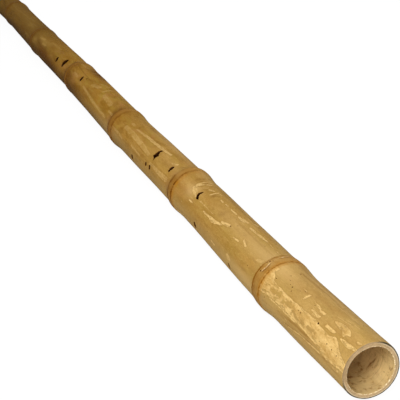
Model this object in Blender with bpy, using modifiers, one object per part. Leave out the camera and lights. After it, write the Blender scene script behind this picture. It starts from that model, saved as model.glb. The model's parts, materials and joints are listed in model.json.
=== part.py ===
"""A cut bamboo cane, lying along X on the ground, its sawn butt at +X and its thinner end at -X.

Metres, +Z up. The origin is under the middle of the cane, on the ground. A station is a distance
along the cane from the sawn butt. A turn is an angle round the cane, in degrees from the top towards -Y.
"""

import math

import bmesh
import bpy

# Driving dimensions, in metres
WALL = 0.0043
DIAPHRAGM = 0.006
SIDES = 24

# Length, then diameter just after the node behind it and just before the node ahead, from the butt
INTERNODES = (
    (0.158, 0.0496, 0.0500),
    (0.250, 0.0516, 0.0502),
    (0.247, 0.0494, 0.0498),
    (0.274, 0.0508, 0.0508),
    (0.276, 0.0490, 0.0492),
    (0.273, 0.0492, 0.0480),
    (0.267, 0.0486, 0.0480),
    (0.255, 0.0480, 0.0474),
)

# Ring diameter and clearance over the ground at each node: the first and last rings are worn flat underneath
NODES = (
    (0.0540, -0.0005),
    (0.0536, 0.0004),
    (0.0535, 0.0004),
    (0.0524, 0.0005),
    (0.0517, 0.0004),
    (0.0512, 0.0005),
    (0.0508, -0.0005),
)

# The crook: how far the centre line stands aside in +Y at the butt, at each node and at the far end
ASIDE = (0.0033, -0.0001, 0.0010, -0.0014, 0.0015, 0.0003, 0.0019, -0.0016, 0.0006)
BUTT_HEIGHT = 0.0276
FAR_END_HEIGHT = 0.0256
LEVEL_BY_NODE = 0.006

# A node's section: distance past the node, then its share of the ring's rise over the internode
RING_SECTION = (
    (-0.034, 0.0),
    (-0.017, 0.40),
    (-0.0075, 0.80),
    (-0.005, 0.76),
    (-0.0035, 1.0),
    (0.004, 1.0),
    (0.0055, 0.70),
    (0.008, 0.62),
    (0.020, 0.0),
)

# An inner hollow's end: distance from the diaphragm, then its share of the bore's radius
HOLLOW_END = ((0.0, 0.0), (0.001, 0.55), (0.005, 0.88), (0.014, 1.0))

# Slits through the wall: station, turn, length round the cane and width along it
SLITS = (
    (0.227, 105, 0.0050, 0.0048),
    (0.325, 99, 0.0048, 0.0072),
    (0.343, 31, 0.0090, 0.0048),
    (0.434, 37, 0.0088, 0.0058),
    (0.485, 35, 0.0158, 0.0110),
    (0.486, 78, 0.0062, 0.0060),
    (0.500, 78, 0.0046, 0.0056),
    (0.551, 98, 0.0046, 0.0080),
    (0.857, 37, 0.0082, 0.0076),
    (0.969, 42, 0.0146, 0.0136),
    (1.010, 53, 0.0095, 0.0104),
    (1.331, 215, 0.0085, 0.0036),
    (1.590, 300, 0.0070, 0.0034),
)
SLIT_SIDES = 12
SLIT_REACH = 0.008

# The block under the ground that planes the resting rings: how far it goes past the cane, and its size
GROUND_MARGIN = 0.05
GROUND_WIDTH = 0.12
GROUND_DEPTH = 0.01

WELD = 1e-6
HALF_FACET = 180 / SIDES
SHARP_ANGLE = math.radians(40)
SKIN_COLOUR = (0.55, 0.35, 0.11, 1)
SKIN_ROUGHNESS = 0.55

ENDS = [sum(length for length, _, _ in INTERNODES[:count]) for count in range(1, len(INTERNODES) + 1)]
NODE_STATIONS = ENDS[:-1]
LENGTH = ENDS[-1]


def blend(value, points):
    """Straight-line reading of (position, value) points."""
    for (start, low), (end, high) in zip(points, points[1:]):
        if value <= end:
            share = max(0.0, (value - start) / (end - start))
            return low + (high - low) * share
    return points[-1][1]


def culm_diameter(station):
    """Diameter of the cane without its rings."""
    points = []
    for end, (length, near, far) in zip(ENDS, INTERNODES):
        points += [(end - length + LEVEL_BY_NODE, near), (end - LEVEL_BY_NODE, far)]
    return blend(station, points)


def skin_radius(station):
    radius = culm_diameter(station) / 2
    for node, (ring, _) in zip(NODE_STATIONS, NODES):
        if RING_SECTION[0][0] <= station - node <= RING_SECTION[-1][0]:
            return radius + (ring / 2 - radius) * blend(station - node, RING_SECTION)
    return radius


def bore_radius(station):
    return culm_diameter(station) / 2 - WALL


def centre_line(station):
    """(y, z) of the middle of the cane: straight between nodes, level across each."""
    heights = [BUTT_HEIGHT] + [ring / 2 + gap for ring, gap in NODES] + [FAR_END_HEIGHT]
    places = [0.0] + ENDS
    y_points = []
    z_points = []
    for place, aside, height in zip(places, ASIDE, heights):
        for edge in (place - LEVEL_BY_NODE, place + LEVEL_BY_NODE):
            y_points.append((edge, aside))
            z_points.append((edge, height))
    return blend(station, y_points), blend(station, z_points)


def on_cane(station, turn, radius):
    """The point at a station, a turn in degrees and a radius from the centre line."""
    y, z = centre_line(station)
    angle = math.radians(turn)
    return LENGTH / 2 - station, y - radius * math.sin(angle), z + radius * math.cos(angle)


def hollow_profile(start, end):
    """Outline of a closed hollow between two diaphragms, from the axis and back to it."""
    near = [(start + step, share * bore_radius(start + step)) for step, share in HOLLOW_END]
    far = [(end - step, share * bore_radius(end - step)) for step, share in reversed(HOLLOW_END)]
    return near + far


def culm_profile():
    """Outline of the cane: up the butt's hollow, down the skin, and back up the far end's hollow."""
    first = NODE_STATIONS[0] - DIAPHRAGM / 2
    last = NODE_STATIONS[-1] + DIAPHRAGM / 2
    outline = [(first - step, share * bore_radius(first - step)) for step, share in HOLLOW_END]
    outline.append((0.0, bore_radius(0.0)))
    outline.append((0.0, skin_radius(0.0)))
    for node in NODE_STATIONS:
        for step, _ in RING_SECTION:
            outline.append((node + step, skin_radius(node + step)))
    outline.append((LENGTH, skin_radius(LENGTH)))
    outline.append((LENGTH, bore_radius(LENGTH)))
    for step, share in reversed(HOLLOW_END):
        outline.append((last + step, share * bore_radius(last + step)))
    return outline


def new_object(name, mesh, collection):
    made = bpy.data.objects.new(name, mesh)
    collection.objects.link(made)
    return made


def turned(name, outline, collection):
    """Turns (station, radius) points into a closed mesh, laid along the cane's crooked centre line."""
    mesh = bpy.data.meshes.new(name + "_outline")
    # The outline stands upright with the butt on top, so its outer side runs downwards.
    mesh.from_pydata([(radius, 0, -station) for station, radius in outline],
                     [(index, index + 1) for index in range(len(outline) - 1)], [])
    guide = new_object(name + "_outline", mesh, collection)
    screw = guide.modifiers.new("turn", "SCREW")
    screw.axis = "Z"
    screw.steps = SIDES
    screw.render_steps = SIDES
    screw.use_merge_vertices = True
    screw.merge_threshold = WELD
    evaluated = guide.evaluated_get(bpy.context.evaluated_depsgraph_get())
    solid = bpy.data.meshes.new_from_object(evaluated)
    bpy.data.objects.remove(guide)
    bpy.data.meshes.remove(mesh)
    solid.name = name
    lay_down(solid)
    return new_object(name, solid, collection)


def face_outwards(body):
    body.normal_update()
    bmesh.ops.recalc_face_normals(body, faces=body.faces)


def lay_down(mesh):
    """Moves a turned mesh onto the cane, a flat side down, its flats at the stated radius."""
    body = bmesh.new()
    body.from_mesh(mesh)
    bmesh.ops.remove_doubles(body, verts=body.verts, dist=WELD)
    for vertex in body.verts:
        station = -vertex.co.z
        radius = math.hypot(vertex.co.x, vertex.co.y) / math.cos(math.radians(HALF_FACET))
        turn = math.degrees(math.atan2(vertex.co.y, vertex.co.x)) + HALF_FACET
        vertex.co = on_cane(station, turn, radius)
    face_outwards(body)
    body.to_mesh(mesh)
    body.free()


def slit_cutter(number, place, collection):
    """An upright elliptical prism through the wall, thin along the cane and long round it."""
    station, turn, length, width = place
    body = bmesh.new()
    bmesh.ops.create_cone(body, cap_ends=True, segments=SLIT_SIDES, radius1=0.5, radius2=0.5, depth=1)
    middle = skin_radius(station)
    for vertex in body.verts:
        along = vertex.co.x * width
        around = vertex.co.y * length
        depth = vertex.co.z * 2 * SLIT_REACH
        # A prism, not a wedge: the sideways step is a distance, not an angle.
        radius = math.hypot(middle + depth, around)
        spread = math.degrees(math.atan2(around, middle + depth))
        vertex.co = on_cane(station + along, turn + spread, radius)
    face_outwards(body)
    mesh = bpy.data.meshes.new(f"slit_{number}")
    body.to_mesh(mesh)
    body.free()
    return new_object(f"slit_{number}", mesh, collection)


def ground_cutter(collection):
    """A block with its top at z = 0, under the whole cane."""
    body = bmesh.new()
    bmesh.ops.create_cube(body, size=1)
    for vertex in body.verts:
        vertex.co.x *= LENGTH + 2 * GROUND_MARGIN
        vertex.co.y *= GROUND_WIDTH
        vertex.co.z = (vertex.co.z - 0.5) * GROUND_DEPTH
    face_outwards(body)
    mesh = bpy.data.meshes.new("ground_block")
    body.to_mesh(mesh)
    body.free()
    return new_object("ground_block", mesh, collection)


def hide_cutter(cutter):
    cutter.hide_render = True
    cutter.display_type = "WIRE"


def subtract(target, cutters, name):
    boolean = target.modifiers.new(name, "BOOLEAN")
    boolean.operation = "DIFFERENCE"
    boolean.solver = "EXACT"
    boolean.operand_type = "COLLECTION"
    boolean.collection = cutters


def skin_material():
    material = bpy.data.materials.new("bamboo_skin")
    material.use_nodes = True
    shader = material.node_tree.nodes["Principled BSDF"]
    shader.inputs["Base Color"].default_value = SKIN_COLOUR
    shader.inputs["Roughness"].default_value = SKIN_ROUGHNESS
    shader.inputs["Metallic"].default_value = 0.0
    material.diffuse_color = SKIN_COLOUR
    return material


def new_collection(name, parent):
    made = bpy.data.collections.new(name)
    parent.children.link(made)
    return made


def main():
    for existing in list(bpy.data.objects):
        bpy.data.objects.remove(existing)
    scene_root = bpy.context.scene.collection
    parts = new_collection("bamboo_cane_parts", scene_root)
    cutters = new_collection("cutters", scene_root)
    hollows = new_collection("hollow_cutters", cutters)
    slits = new_collection("slit_cutters", cutters)
    ground = new_collection("ground_cutter", cutters)

    cane = turned("bamboo_cane", culm_profile(), parts)
    cane.data.materials.append(skin_material())

    for number, (near, far) in enumerate(zip(NODE_STATIONS, NODE_STATIONS[1:]), start=1):
        outline = hollow_profile(near + DIAPHRAGM / 2, far - DIAPHRAGM / 2)
        hide_cutter(turned(f"hollow_{number}", outline, hollows))
    for number, place in enumerate(SLITS, start=1):
        hide_cutter(slit_cutter(number, place, slits))
    hide_cutter(ground_cutter(ground))
    subtract(cane, hollows, "inner hollows")
    subtract(cane, slits, "slits")
    subtract(cane, ground, "resting flats")

    cane.data.shade_smooth()
    cane.data.set_sharp_from_angle(angle=SHARP_ANGLE)


main()
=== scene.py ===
import json
import math

import bmesh
import bpy
import numpy as np
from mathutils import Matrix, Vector

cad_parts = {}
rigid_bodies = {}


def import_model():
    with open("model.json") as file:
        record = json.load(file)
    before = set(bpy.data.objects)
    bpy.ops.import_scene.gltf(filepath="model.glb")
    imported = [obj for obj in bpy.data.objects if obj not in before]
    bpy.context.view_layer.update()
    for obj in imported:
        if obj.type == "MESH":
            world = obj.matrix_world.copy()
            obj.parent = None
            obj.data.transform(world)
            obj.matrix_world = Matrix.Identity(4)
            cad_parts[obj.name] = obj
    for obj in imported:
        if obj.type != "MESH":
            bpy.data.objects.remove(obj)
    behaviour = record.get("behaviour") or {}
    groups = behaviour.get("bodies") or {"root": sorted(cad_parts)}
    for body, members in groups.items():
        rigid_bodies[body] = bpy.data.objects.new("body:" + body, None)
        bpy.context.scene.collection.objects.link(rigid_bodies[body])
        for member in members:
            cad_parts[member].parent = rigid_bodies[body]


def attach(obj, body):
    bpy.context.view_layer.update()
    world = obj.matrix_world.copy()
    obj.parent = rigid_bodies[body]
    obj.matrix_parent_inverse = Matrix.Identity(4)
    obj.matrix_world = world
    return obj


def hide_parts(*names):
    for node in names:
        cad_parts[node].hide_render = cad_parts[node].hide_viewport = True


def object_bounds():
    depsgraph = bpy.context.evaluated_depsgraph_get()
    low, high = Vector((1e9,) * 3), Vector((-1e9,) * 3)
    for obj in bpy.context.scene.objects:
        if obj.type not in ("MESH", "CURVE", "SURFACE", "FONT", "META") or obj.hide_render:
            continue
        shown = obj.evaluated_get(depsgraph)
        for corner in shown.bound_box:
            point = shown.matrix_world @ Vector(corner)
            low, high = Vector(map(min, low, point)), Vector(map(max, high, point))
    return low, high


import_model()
cad_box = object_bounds()

# The cane lies along X with its sawn butt at +X. A station is a distance from the butt in metres.
# A turn is an angle round the cane in degrees, from the top towards the photographed side at -Y.

# Driving dimensions in metres, the same as the solid's. Internodes: length, then the diameter just after
# the node behind and just before the node ahead. Nodes: ring diameter and clearance over the ground.
# Aside: how far the centre line stands off in +Y at the butt, at each node and at the far end.
WALL = 0.0043
DIAPHRAGM = 0.006
LEVEL_BY_NODE = 0.006
BUTT_HEIGHT = 0.0276
FAR_END_HEIGHT = 0.0256
INTERNODES = (
    (0.158, 0.0496, 0.0500),
    (0.250, 0.0516, 0.0502),
    (0.247, 0.0494, 0.0498),
    (0.274, 0.0508, 0.0508),
    (0.276, 0.0490, 0.0492),
    (0.273, 0.0492, 0.0480),
    (0.267, 0.0486, 0.0480),
    (0.255, 0.0480, 0.0474),
)
NODES = (
    (0.0540, -0.0005),
    (0.0536, 0.0004),
    (0.0535, 0.0004),
    (0.0524, 0.0005),
    (0.0517, 0.0004),
    (0.0512, 0.0005),
    (0.0508, -0.0005),
)
ASIDE = (0.0033, -0.0001, 0.0010, -0.0014, 0.0015, 0.0003, 0.0019, -0.0016, 0.0006)

# A node's swelling: millimetres past the node, then its share of the ring's rise
SWELLING = (
    (-34, 0.0), (-27, 0.10), (-17, 0.40), (-11, 0.66), (-8.5, 0.80), (-6.5, 0.86), (-4.5, 0.97),
    (-2.5, 1.0), (1.5, 1.0), (3.5, 0.97), (6.0, 0.84), (8.5, 0.58), (13.0, 0.22), (20.0, 0.0),
)

# Each node's two grooves, in mm past the node, and how far its ring wanders along the cane, in half mm
GROOVES = (
    (-7.0, 7.0, 0.8),
    (-6.5, 4.6, 1.2),
    (-9.5, 5.2, 1.4),
    (-6.5, 9.5, 1.6),
    (-6.5, 4.5, 1.2),
    (-6.0, 4.5, 1.1),
    (-6.0, 4.5, 1.3),
)
GROOVE_DEPTHS = (0.26, 0.15, 0.05, 0.03, 0.06, 0.09, 0.12)
GROOVE_WIDTH = 0.75

# How wide the brown of each node's grooves spreads, in mm
LINE_WIDTHS = (1.4, 2.4, 3.8, 4.2, 3.2, 2.8, 2.8)

# Bulges and dents of the outline: middle as (station mm, turn), reach along and round in mm, and rise in mm
BULGES = (
    (235, -34, 45, 12, 0.5), (150, -38, 13, 10, 0.5), (405, -28, 12, 10, 0.5), (352, -34, 30, 10, 0.35),
    (845, -34, 45, 10, 0.5), (745, -34, 55, 10, 0.4), (141, 122, 9, 9, -0.35),
)

# The fibrous crack in the first node's ring: points as (turn, mm past the node), its depth and half width
# in mm, and how open it is at each turn
CRACK = ((-13, 3.0), (1, 2.0), (15, 1.0), (28, 0.5), (37, -0.5), (48, 0.5))
CRACK_DEPTH = 0.6
CRACK_WIDTH = 0.8
CRACK_TONES = ((-17, 0), (-12, 0.7), (2, 0.7), (8, 0.1), (24, 0.1), (29, 1), (47, 1), (53, 0))

# How dark the grooves and the band between them are at six turns round each node
RING_TURNS = (-120, -30, 10, 50, 95, 160)
NEAR_TONES = (
    (0.6, 0.5, 0.6, 0.75, 1.0, 0.6),
    (0.5, 0.1, 0.45, 1.0, 0.9, 0.5),
    (0.4, 0.1, 0.2, 0.45, 0.5, 0.5),
    (0.4, 0.1, 0.1, 0.15, 0.3, 0.5),
    (0.5, 0.25, 0.3, 0.35, 0.4, 0.5),
    (0.5, 0.25, 0.3, 0.35, 0.4, 0.4),
    (0.6, 0.5, 0.5, 0.6, 0.5, 0.7),
)
FAR_TONES = (
    (0.5, 0.4, 0.6, 0.9, 0.8, 0.5),
    (0.4, 0.05, 0.1, 0.6, 0.9, 0.5),
    (0.4, 0.1, 0.15, 0.4, 0.5, 0.4),
    (0.4, 0.2, 0.25, 0.35, 0.4, 0.4),
    (0.4, 0.3, 0.3, 0.35, 0.4, 0.4),
    (0.5, 0.3, 0.3, 0.4, 0.4, 0.5),
    (0.5, 0.6, 0.5, 0.5, 0.6, 0.4),
)
BAND_TONES = (
    (0.3, 0.2, 0.15, 0.3, 0.6, 0.3),
    (0.4, 0.05, 0.25, 0.75, 0.6, 0.5),
    (0.5, 0.15, 0.45, 0.75, 0.75, 0.5),
    (0.5, 0.35, 0.6, 0.85, 0.85, 0.5),
    (0.5, 0.5, 0.65, 0.75, 0.7, 0.5),
    (0.5, 0.45, 0.6, 0.7, 0.7, 0.5),
    (0.4, 0.5, 0.5, 0.5, 0.5, 0.4),
)

ENDS = [sum(length for length, _, _ in INTERNODES[:count]) for count in range(1, len(INTERNODES) + 1)]
NODE_STATIONS = np.array(ENDS[:-1])
LENGTH = ENDS[-1]

# Millimetres round the skin for each degree of turn
ARC = 0.43

# Slits through the wall: points as (station mm, turn), then the half width in mm at each point
SLITS = (
    (((229, 100), (225, 110)), (1.2, 2.4, 1.0)),
    (((328, 94), (322, 104)), (2.2, 3.6, 1.8)),
    (((338, 42), (343.5, 39), (346.5, 31), (344, 20)), (1.2, 1.9, 2.4, 1.5)),
    (((434, 48), (434.5, 37), (433, 27)), (1.9, 2.9, 1.9)),
    (((484, 54), (484.5, 48), (486, 38), (487.5, 30), (488, 24), (485, 17)),
     (1.3, 1.8, 6.0, 4.6, 2.9, 2.4, 1.5)),
    (((484.5, 84), (486, 77), (487, 70)), (1.8, 3.0, 1.8)),
    (((499, 84), (500, 78), (501, 73)), (1.7, 2.8, 1.6)),
    (((556, 93), (552, 104)), (2.6, 4.0, 2.2)),
    (((853, 47), (857, 37), (860, 28)), (2.6, 3.8, 2.4)),
    (((970, 60), (970.5, 43), (967, 24)), (4.2, 6.8, 4.8)),
    (((1011, 64), (1010.5, 53), (1009, 43)), (3.2, 5.2, 3.4)),
    (((1330, 205), (1332, 215), (1328, 225)), (1.1, 1.8, 1.1)),
    (((1590, 292), (1591, 300), (1588, 308)), (1.0, 1.7, 1.0)),
)

# Insect pinholes seen from the photographed side: station mm, turn, radius mm
PINHOLES = (
    (163.5, 29, 1.05), (162, 24, 0.9), (160.5, 49, 0.85), (137, 39, 0.6), (129, 14, 0.5), (128, -6, 0.75),
    (125, 54, 0.42), (123, 22, 0.4), (118, 28, 0.5), (113, 30, 0.68), (109.5, 37, 0.58), (108, 71, 0.42),
    (102, 25, 0.48), (97.5, 18, 0.42), (84.5, 54, 0.58), (80.5, 55, 0.7), (74, 26, 0.45), (54, 46, 1.1),
    (41.5, 70, 0.45), (31.5, 63, 0.58), (23, 65, 0.5), (14.5, 67, 0.55), (5.5, 77, 0.42),
    (180.5, 14, 0.4), (185.5, 62, 0.55), (253.5, 31, 0.7), (402.5, 59, 0.95), (401, 54, 0.7),
    (842.5, 25, 2.1),
)

# Closed scraped areas as outlines of (station mm, turn)
SCRAPED_AREAS = (
    ((152, 21), (144, 21), (145, 32), (140, 38), (138, 45), (125, 47), (111, 48), (95, 47), (82, 46),
     (69, 45), (59, 44), (53, 48), (42, 48), (33, 49), (27, 42), (21, 46), (14, 56), (6, 64), (-2, 67),
     (-2, 82), (15, 86), (30, 88), (37, 83), (49, 80), (65, 77), (79, 75), (94, 74), (114, 75), (133, 76),
     (150, 80), (152, 69), (153, 56), (153, 45), (152, 32)),
    ((43, 21), (38, 17), (30, 14), (22, 16), (18, 21), (17, 24), (21, 27), (21, 33), (24, 33), (28, 26),
     (37, 26), (42, 23)),
    ((23, 38), (19, 36), (9, 34), (-2, 32), (-2, 38), (5, 40), (10, 43), (16, 42), (22, 40)),
    ((368.5, 30), (366, 22), (360, 21), (355.5, 22), (352.5, 28), (353.5, 31), (351.5, 35), (344.5, 40),
     (343.5, 43), (354, 41), (361, 37)),
)

# Skin left standing inside the largest area: start and end as (station mm, turn), half width mm
LEFT_STANDING = (
    (134, 63, 119, 58, 2.6), (110, 61, 98, 59, 1.9), (91, 64, 81, 67, 1.3), (74, 66, 70, 64, 1.9),
    (63, 64, 55, 64, 2), (133, 72, 102, 70, 0.8), (58, 72, 38, 79, 1), (145, 74, 135, 69, 0.9),
    (143, 61, 140, 59, 1), (65, 56, 61, 57, 0.8), (51, 68, 47, 70, 1), (93, 56, 89, 57, 0.6),
    (126, 69, 120, 68, 0.8), (85, 72, 77, 72, 0.7),
)

# Scraped strokes: start and end as (station mm, turn), half widths mm, and how pale the stroke is
STROKES = (
    (45, 39, 32, 38, 1.1, 1.2, 1), (72, 36, 58, 35, 0.8, 0.9, 1), (68, 41, 58, 38, 0.6, 0.8, 0.9),
    (72, 22, 66, 24, 0.9, 1, 0.9), (63, 27, 57, 25, 1.1, 1.5, 1), (78, 21, 71, 23, 0.5, 0.7, 0.8),
    (104, 15, 97, 16, 0.5, 0.6, 1), (90, 31, 90, 23, 1.2, 1.5, 1), (90, 23, 89.5, 16, 1.5, 1.2, 1),
    (105, 103, 72, 92, 0.4, 0.7, 0.8), (72, 92, 37, 89, 0.7, 0.8, 0.8), (7, 22, 3, 21, 0.7, 1.1, 1),
    (133, 79, 110, 78, 0.5, 0.6, 1), (110, 78, 79, 77, 0.6, 0.5, 0.9), (27, 87, 24, 88, 0.8, 0.8, 0.8),
    (15, 92, 7, 90, 1, 1.1, 0.8), (100, 91, 96, 90, 0.8, 0.7, 0.7), (98, 92, 93, 95, 0.5, 0.5, 0.6),
    (47, 12, 30, 6, 0.5, 0.6, 0.4), (39, 3, 22, -2, 0.6, 0.5, 0.35), (61, -9, 30, -12, 0.6, 0.8, 0.3),
    (313, 52, 300, 51, 0.8, 0.9, 1), (300, 51, 286, 51, 1, 2.2, 1), (286, 51, 277, 48, 2.2, 1.6, 1),
    (277, 47, 267, 44, 1.4, 0.7, 1), (271, 38, 264, 36, 1.2, 1.3, 0.95),
    (264, 35, 257, 33, 1.5, 2.2, 1.1), (333, 41, 292, 40, 0.45, 0.5, 0.8), (235, 44, 223, 41, 0.8, 1, 1),
    (219, 31, 208, 38, 0.8, 1.1, 1), (235, 0, 217, -2, 1.3, 1.5, 1.1), (217, -2, 199, -5, 1.5, 0.9, 1),
    (199, -5, 167, -4, 0.4, 0.6, 0.7), (286, 0, 272, 0, 0.9, 1, 1.1), (266, 0, 252, 0, 1, 1.7, 1.05),
    (259, -3, 248, -6, 1.1, 1.5, 1.05), (314.5, 2, 306, 2, 0.8, 0.8, 0.9),
    (301, 0, 295, 0, 0.8, 0.7, 0.9), (247, -19, 240, -22, 1, 1.2, 0.7), (231, 83, 224, 89, 2, 2.4, 0.6),
    (277, 90, 264, 93, 0.8, 0.8, 0.8), (178, 40, 170, 35, 1.6, 1.4, 0.45),
    (367, 18, 367, -1, 1.5, 1.6, 0.9), (367, -1, 364, -18, 1.5, 1.3, 0.65),
    (345, 4, 339, -2, 1.3, 1.3, 0.75), (332, 12, 332.5, -6, 1.4, 1.6, 0.95),
    (334, -9, 326, -12, 0.8, 0.7, 0.6), (354, 58, 343, 57, 0.9, 0.9, 1), (366, 27, 362, 8, 1.6, 1.5, 1),
    (362, 8, 357, -12, 1.5, 1.4, 0.9), (356, 26, 352, 6, 3, 3, 0.3), (371, 76, 368, 77, 0.7, 0.6, 0.6),
    (488, 67, 470, 68, 1.6, 2.2, 0.5), (470, 68, 450, 69, 2.4, 3, 0.55),
    (450, 69, 429, 67, 3.2, 3.4, 0.55), (445, 25, 433, 17, 1.5, 1.9, 0.75),
    (579, 24, 545, 19, 1.2, 1.8, 0.6), (545, 19, 512, 16, 1.8, 1.9, 0.7),
    (512, 16, 490, 14, 1.9, 1.9, 0.75), (490, 14, 465, 8, 1.9, 1.2, 0.85),
    (608, 41, 578, 42, 2.8, 3.4, 0.4), (578, 42, 527, 47, 3.4, 3.2, 0.5),
    (527, 47, 502, 52, 3.2, 2.4, 0.45), (563, 69, 526, 73, 1.2, 1.4, 0.5),
    (644, 68, 614, 72, 1.2, 1.5, 0.5), (614, 72, 599, 76, 1.5, 1.2, 0.5), (604, 20, 592, 20, 2, 1.8, 0.4),
    (830, 51, 761, 62, 1.6, 2.1, 0.5), (761, 62, 684, 67, 2, 1.6, 0.5),
    (807, 26, 782, 14, 2.8, 3.6, 0.45), (759, 14, 758, -16, 2.6, 2.4, 0.5),
    (745, 22, 697, 27, 2.6, 3.4, 0.45), (686, 44, 664, 46, 1.2, 1.5, 0.55),
    (860, -10, 860, -22, 2.5, 2.5, 0.45), (799, 3, 776, -17, 1.6, 1.5, 0.4),
    (903, 39, 877, 43, 1.6, 1.8, 0.4), (1162, 39, 1130, 31, 1.5, 1.9, 0.4),
    (1129, 49, 1105, 46, 1.6, 1.5, 0.4), (1096, 19, 1037, 13, 1.8, 2.2, 0.3),
)

# Brown stains: middle as (station mm, turn), reach along and round in mm, and strength
STAINS = (
    (147, 98, 7, 7, 0.6), (151, 30, 3, 20, 0.2), (412, 88, 9, 9, 0.6), (300, 95, 60, 8, 0.25),
    (406, 40, 8, 26, 0.25), (898, 92, 60, 12, 0.55), (845, 84, 45, 9, 0.45), (1040, 96, 90, 14, 0.6),
    (1085, 84, 40, 8, 0.45), (1190, 92, 60, 14, 0.3), (932, 40, 12, 34, 0.55), (910, 62, 22, 8, 0.45),
    (662, 42, 12, 26, 0.5), (858, -24, 40, 9, 0.85), (640, 14, 60, 14, 0.2), (800, 52, 40, 8, 0.3),
    (70, 66, 26, 2.5, 0.35), (915, 56, 26, 9, 0.35), (640, 88, 18, 10, 0.4), (705, 88, 40, 6, 0.35),
    (470, 96, 50, 8, 0.25), (1480, 20, 160, 24, 0.15), (1217, 30, 12, 40, 0.35), (1484, 30, 12, 40, 0.3),
    (1112, 80, 26, 9, 0.4), (1295, 66, 30, 8, 0.25), (1455, 48, 24, 10, 0.3), (1075, 30, 16, 5, 0.25),
    (283, 28, 4, 4, 0.35), (326.5, 9, 3, 3, 0.45), (1320, 250, 120, 20, 0.3), (740, 190, 90, 15, 0.3),
    (420, 230, 30, 14, 0.35), (1760, 140, 80, 25, 0.35),
)

# Lighter places, in the same terms; the broad ones on top at 148 and 205 mm are painted highlight
LIGHTER = (
    (205, 22, 60, 9, 0.36), (148, 12, 34, 12, 0.32), (190, 96, 45, 6, 0.45), (262, 22, 40, 9, 0.15),
    (385, -18, 50, 8, 0.2), (362, 38, 14, 8, 0.4), (520, -24, 70, 7, 0.4), (450, 30, 90, 8, 0.2),
    (680, 90, 70, 9, 0.45), (1270, 30, 120, 12, 0.2), (1400, 10, 110, 12, 0.2), (1600, 120, 160, 14, 0.3),
    (1820, 40, 120, 12, 0.3), (1143, 34, 22, 4, 0.6), (1116, 44, 18, 4, 0.5), (1098, 28, 22, 4, 0.4),
    (1180, 58, 16, 6, 0.35), (560, 200, 120, 12, 0.3), (1050, 240, 140, 14, 0.35),
    (180, 170, 80, 12, 0.3),
)

# Thin brown lines along the skin: start and end as (station mm, turn), half width mm at each, strength
BROWN_LINES = (
    (130, -11, 98, -13, 0.8, 1, 0.8), (98, -13, 82, -16, 1, 0.8, 0.8), (82, -16, 45, -8, 0.8, 0.6, 0.7),
    (152, -23, 61, -31, 0.9, 1.3, 0.5), (252, 13, 192, 12, 0.5, 0.7, 0.5),
    (192, 12, 168, 10, 0.6, 0.5, 0.4), (354, -21, 242, -25, 1.2, 1.6, 0.6),
    (622, -15, 502, -21, 1.6, 2.2, 0.45), (507, 19, 472, 11, 0.7, 0.5, 0.5),
    (562, 59, 442, 73, 0.8, 0.8, 0.4), (332, 69, 182, 77, 0.7, 1, 0.35), (61, 91, 5, 96, 0.8, 1.1, 0.5),
    (142, 95, 71, 89, 0.9, 0.6, 0.5), (885, -13, 703, -19, 1.8, 2.2, 0.45),
    (824, 69, 693, 79, 1.2, 1.4, 0.5), (372, 3, 352, -13, 0.9, 0.7, 0.6),
    (382, 39, 374, -7, 0.5, 0.6, 0.45), (1880, 200, 1650, 208, 1.2, 1.6, 0.5),
    (1100, 180, 960, 176, 1.2, 1, 0.5), (640, 240, 470, 232, 1, 1.6, 0.5),
    (350, 168, 190, 176, 0.9, 1.2, 0.5), (1450, 250, 1260, 258, 1.4, 1, 0.5),
    (120, 215, 20, 212, 0.8, 1, 0.5), (377, 8, 378, 0, 1.4, 1.2, 0.7), (379, -4, 375, -14, 1.4, 1.4, 0.9),
    (375, -14, 379, -28, 1.4, 1.2, 0.8), (114, 87, 80, 82, 0.7, 1.1, 0.9),
    (80, 82, 56, 81, 1.1, 1.3, 0.9), (56, 81, 36, 81, 1.3, 0.6, 0.8), (100, 99, 68, 91, 0.7, 1, 0.8),
    (68, 91, 49, 88, 1, 1.2, 0.8), (32, 92, 12, 85, 1.2, 1, 0.8),
)

# Brown marks inside the butt's bore, in the same terms
BORE_MARKS = (
    (25, -107, 26.5, -116, 0.5, 0.9, 0.9), (26.5, -116, 28, -128, 0.8, 1.2, 1),
    (28.5, -128, 27.5, -142, 1.3, 0.8, 1), (30, -150, 28, -164, 1.4, 1.1, 0.7),
    (28, 171, 27, 180, 0.7, 0.8, 1), (27, 180, 26, -158, 0.8, 0.5, 0.9),
    (26, -164, 25, -168, 0.7, 0.7, 0.7), (17, -165, 16, -167, 0.8, 0.6, 0.8),
    (17, 163, 16, 170, 0.8, 0.8, 0.8), (20, -153, 20, -142, 0.5, 0.6, 0.5),
    (22, -124, 21, -122, 0.8, 0.6, 0.6), (2.5, -128, 2, -123, 0.5, 0.5, 0.7),
    (10, -165, 9, -155, 0.4, 0.5, 0.4), (44, -122, 40, -150, 1.6, 2.2, 0.4),
)

# Slit cutters: mm between sections, tip length in mm, unevenness, and heights over the skin with how wide
# the slit is there
SLIT_STEP = 0.7
SLIT_TIP = 0.35
SLIT_UNEVEN = 0.10
SLIT_LEVELS = ((0.004, 1.12), (-0.0005, 0.96), (-0.0085, 0.72))
SLIT_SEED = 50

# Pinhole cutters: sides, and heights over the skin with how wide the pit is there
PINHOLE_SIDES = 9
PINHOLE_LEVELS = ((0.0012, 1.25), (-0.0002, 0.95), (-0.0013, 0.6))
PINHOLE_SEED = 80

# Relief of the skin and the bore, in mm, and how much of it the rings smooth away
UNDULATION_HEIGHT = 0.16
FLUTING_HEIGHT = 0.045
DIMPLE_HEIGHT = 0.018
BORE_HEIGHT = 0.10
RING_CALM = 0.85

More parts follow.
